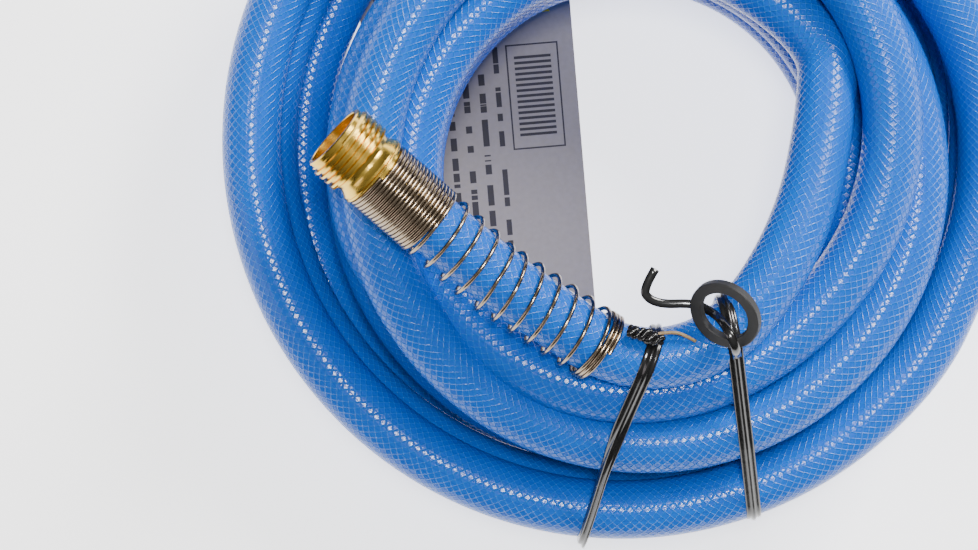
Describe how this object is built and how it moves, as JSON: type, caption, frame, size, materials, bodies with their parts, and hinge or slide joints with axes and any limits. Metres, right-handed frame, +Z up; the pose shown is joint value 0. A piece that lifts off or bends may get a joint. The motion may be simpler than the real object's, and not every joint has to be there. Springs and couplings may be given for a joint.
{
  "type": "drinking water hose",
  "caption": "Coiled flexible drinking-water hose with threaded brass ends, wire hose savers, twist ties, a spare washer and a card.",
  "frame": {"origin": "centre of the coil's outer circle, on the surface that the coil lies on", "axes": "+Z up out of the coil, -X towards the male end, +Y away from the two ties"},
  "size_m": [0.2878, 0.2878, 0.1393],
  "materials": {
    "hose_cover": "clear glossy cover, seen blue through it",
    "hose_braid": "woven",
    "hose_liner": "smooth",
    "brass": "polished",
    "spring_steel": "bright drawn wire, slightly warm",
    "tie_plastic": "glossy black",
    "tie_wire": "dull",
    "rubber": "matt black",
    "card": "smooth printed card"
  },
  "bodies": {
    "hose": {"hose_coil": "hose_cover", "male_lead_cover": "hose_cover", "male_lead_braid": "hose_braid", "male_lead_liner": "hose_liner", "female_lead_cover": "hose_cover", "female_lead_braid": "hose_braid", "female_lead_liner": "hose_liner", "male_coupling": "brass", "male_ferrule": "brass", "male_hose_saver": "spring_steel", "female_tailpiece": "brass", "female_ferrule": "brass", "female_hose_saver": "spring_steel", "left_tie_band": "tie_plastic", "left_tie_wire": "tie_wire", "left_tie_knot": "tie_plastic", "left_tie_tail": "tie_plastic", "right_tie_band": "tie_plastic", "right_tie_wire": "tie_wire", "right_tie_tail": "tie_plastic", "retail_card": "card"},
    "nut": {"swivel_nut": "brass", "seat_washer": "rubber"},
    "washer": {"spare_washer": "rubber"}
  },
  "joints": [
    {"name": "nut_swivel", "type": "hinge", "parent": "hose", "child": "nut", "pos_m": [-0.077, 0.108, 0.0812], "axis": [-1, 0, 0], "continuous": true},
    {"name": "washer_spin", "type": "hinge", "parent": "hose", "child": "washer", "pos_m": [0.0317, -0.0618, 0.1207], "axis": [-0.5, -0.5, 0.7071], "continuous": true}
  ]
}
